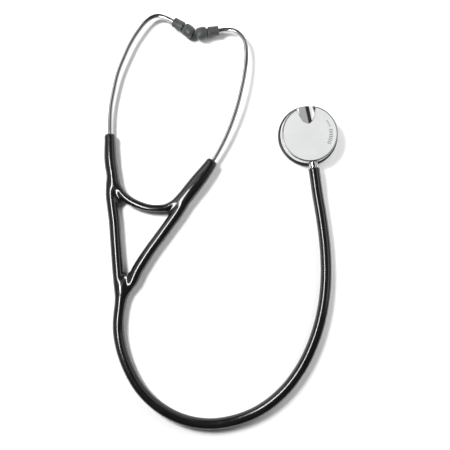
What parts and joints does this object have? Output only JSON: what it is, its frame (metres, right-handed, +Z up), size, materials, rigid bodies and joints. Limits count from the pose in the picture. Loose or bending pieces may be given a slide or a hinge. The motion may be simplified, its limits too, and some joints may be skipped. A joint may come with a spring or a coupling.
{
  "type": "stethoscope",
  "caption": "Stethoscope with moulded Y tubing, sprung steel eartubes, soft eartips and a single-sided steel chestpiece with a thumb notch.",
  "frame": {"origin": "on the table, under the middle of the box that holds the headset and the chestpiece", "axes": "+Z up from the table, +Y from the hose loop towards the eartips, +X from the headset towards the chestpiece"},
  "size_m": [0.1918, 0.3405, 0.0135],
  "materials": {
    "black_vinyl": "glossy moulded black vinyl",
    "polished_steel": "polished stainless steel",
    "satin_steel": "bead-blasted satin stainless face with polished edges",
    "spring_steel": "plain rolled spring steel",
    "grey_rubber": "matte dark grey soft rubber",
    "rim_black": "smooth black non-chill rim",
    "diaphragm_plastic": "thin stiff translucent grey laminate"
  },
  "bodies": {
    "root": {"tubing_yoke": "black_vinyl", "main_tube": "black_vinyl", "tension_spring": "spring_steel", "chestpiece_body": "satin_steel", "chestpiece_stem": "polished_steel", "diaphragm_surround": "rim_black", "diaphragm_rim": "rim_black"},
    "left_arm": {"left_eartube": "polished_steel", "left_spring_clip": "spring_steel", "left_ferrule": "spring_steel"},
    "right_arm": {"right_eartube": "polished_steel", "right_spring_clip": "spring_steel", "right_ferrule": "spring_steel"},
    "left_tip": {"left_eartip": "grey_rubber"},
    "right_tip": {"right_eartip": "grey_rubber"},
    "diaphragm_disc": {"diaphragm": "diaphragm_plastic"}
  },
  "joints": [
    {"name": "left_arm_spread", "type": "hinge", "parent": "root", "child": "left_arm", "pos_m": [-0.0896, -0.011, 0.005], "axis": [0, 0, 1], "range_deg": [0, 25], "stiffness_Nm_per_rad": 0.8, "springref_deg": -5.73, "deforming": ["tubing_yoke", "tension_spring"]},
    {"name": "right_arm_spread", "type": "hinge", "parent": "root", "child": "right_arm", "pos_m": [-0.022, -0.018, 0.0053], "axis": [0, 0, -1], "range_deg": [0, 25], "stiffness_Nm_per_rad": 0.8, "springref_deg": -5.73, "deforming": ["tubing_yoke", "tension_spring"]},
    {"name": "left_eartip_turn", "type": "hinge", "parent": "left_arm", "child": "left_tip", "pos_m": [-0.0392, 0.1156, 0.0052], "axis": [0.866, -0.5, 0], "continuous": true},
    {"name": "right_eartip_turn", "type": "hinge", "parent": "right_arm", "child": "right_tip", "pos_m": [-0.0024, 0.1084, 0.0052], "axis": [-0.9914, -0.131, 0], "continuous": true},
    {"name": "diaphragm_press", "type": "slide", "parent": "root", "child": "diaphragm_disc", "axis": [0, 0, 1], "range_m": [0, 0.0004], "stiffness_N_per_m": 8000, "springref_m": -0.00005}
  ],
  "couplings": [
    {"joint": "right_arm_spread", "follows": "left_arm_spread", "ratio": 1}
  ]
}
